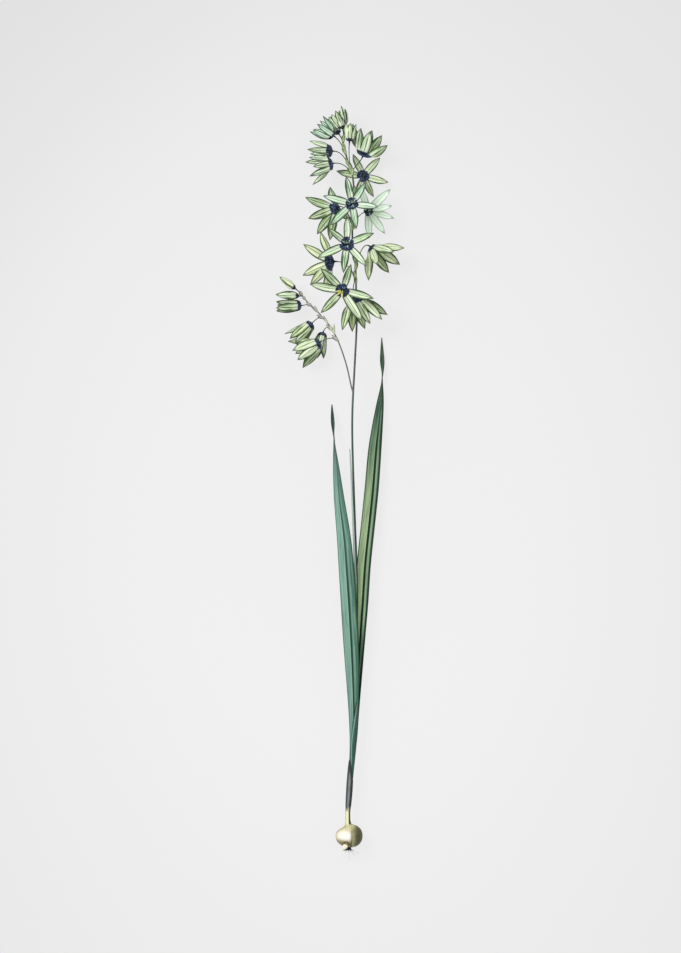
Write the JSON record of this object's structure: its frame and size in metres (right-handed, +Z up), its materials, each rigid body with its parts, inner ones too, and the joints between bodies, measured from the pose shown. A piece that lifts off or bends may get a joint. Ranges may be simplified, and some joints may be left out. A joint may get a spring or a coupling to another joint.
{
  "type": "ixia flower",
  "caption": "Whole green-flowered ixia plant lying flat: round corm with roots, sheath, long leaves, slender stem, a spike of starry blooms and a drooping side branch.",
  "frame": {"origin": "middle of the small flat spot under the corm, on the surface that the plant lies on", "axes": "+Y runs from the corm along the shoot to the tip of the spike, +Z is up from the surface and faces the viewer of the picture, +X is to the viewer's right"},
  "size_m": [0.087, 0.5085, 0.0459],
  "materials": {
    "petals": "soft satin, yellow-green with a dark blue eye",
    "stamens": "matt, pollen yellow",
    "leaf": "satin, blue-green",
    "stem": "satin, grey-green",
    "branch": "matt, greyish",
    "sheath": "matt, purple-grey",
    "corm": "smooth, cream",
    "roots": "matt, pale"
  },
  "bodies": {
    "root": {"bloom_01": "petals", "bloom_02": "petals", "bloom_02_stamens": "stamens", "bloom_03": "petals", "bloom_03_stamens": "stamens", "bloom_04": "petals", "bloom_04_stamens": "stamens", "bloom_05": "petals", "bloom_05_stamens": "stamens", "bloom_06": "petals", "bloom_06_stamens": "stamens", "bloom_07": "petals", "bloom_07_stamens": "stamens", "bloom_08": "petals", "bloom_08_stamens": "stamens", "bloom_09": "petals", "bloom_09_stamens": "stamens", "bloom_10": "petals", "bloom_11": "petals", "bloom_12": "petals", "bloom_13": "petals", "bloom_14": "petals", "bloom_15": "petals", "bloom_16": "petals", "bud_1": "petals", "bud_2": "petals", "corm": "corm", "left_leaf": "leaf", "right_leaf": "leaf", "root_plate": "roots", "sheath": "sheath", "side_bloom_1": "petals", "side_bloom_2": "petals", "side_bloom_3": "petals", "side_bloom_4": "petals", "side_branch": "branch", "side_bud_1": "petals", "side_bud_2": "petals", "stem": "stem", "stem_leaf": "leaf"}
  },
  "joints": []
}
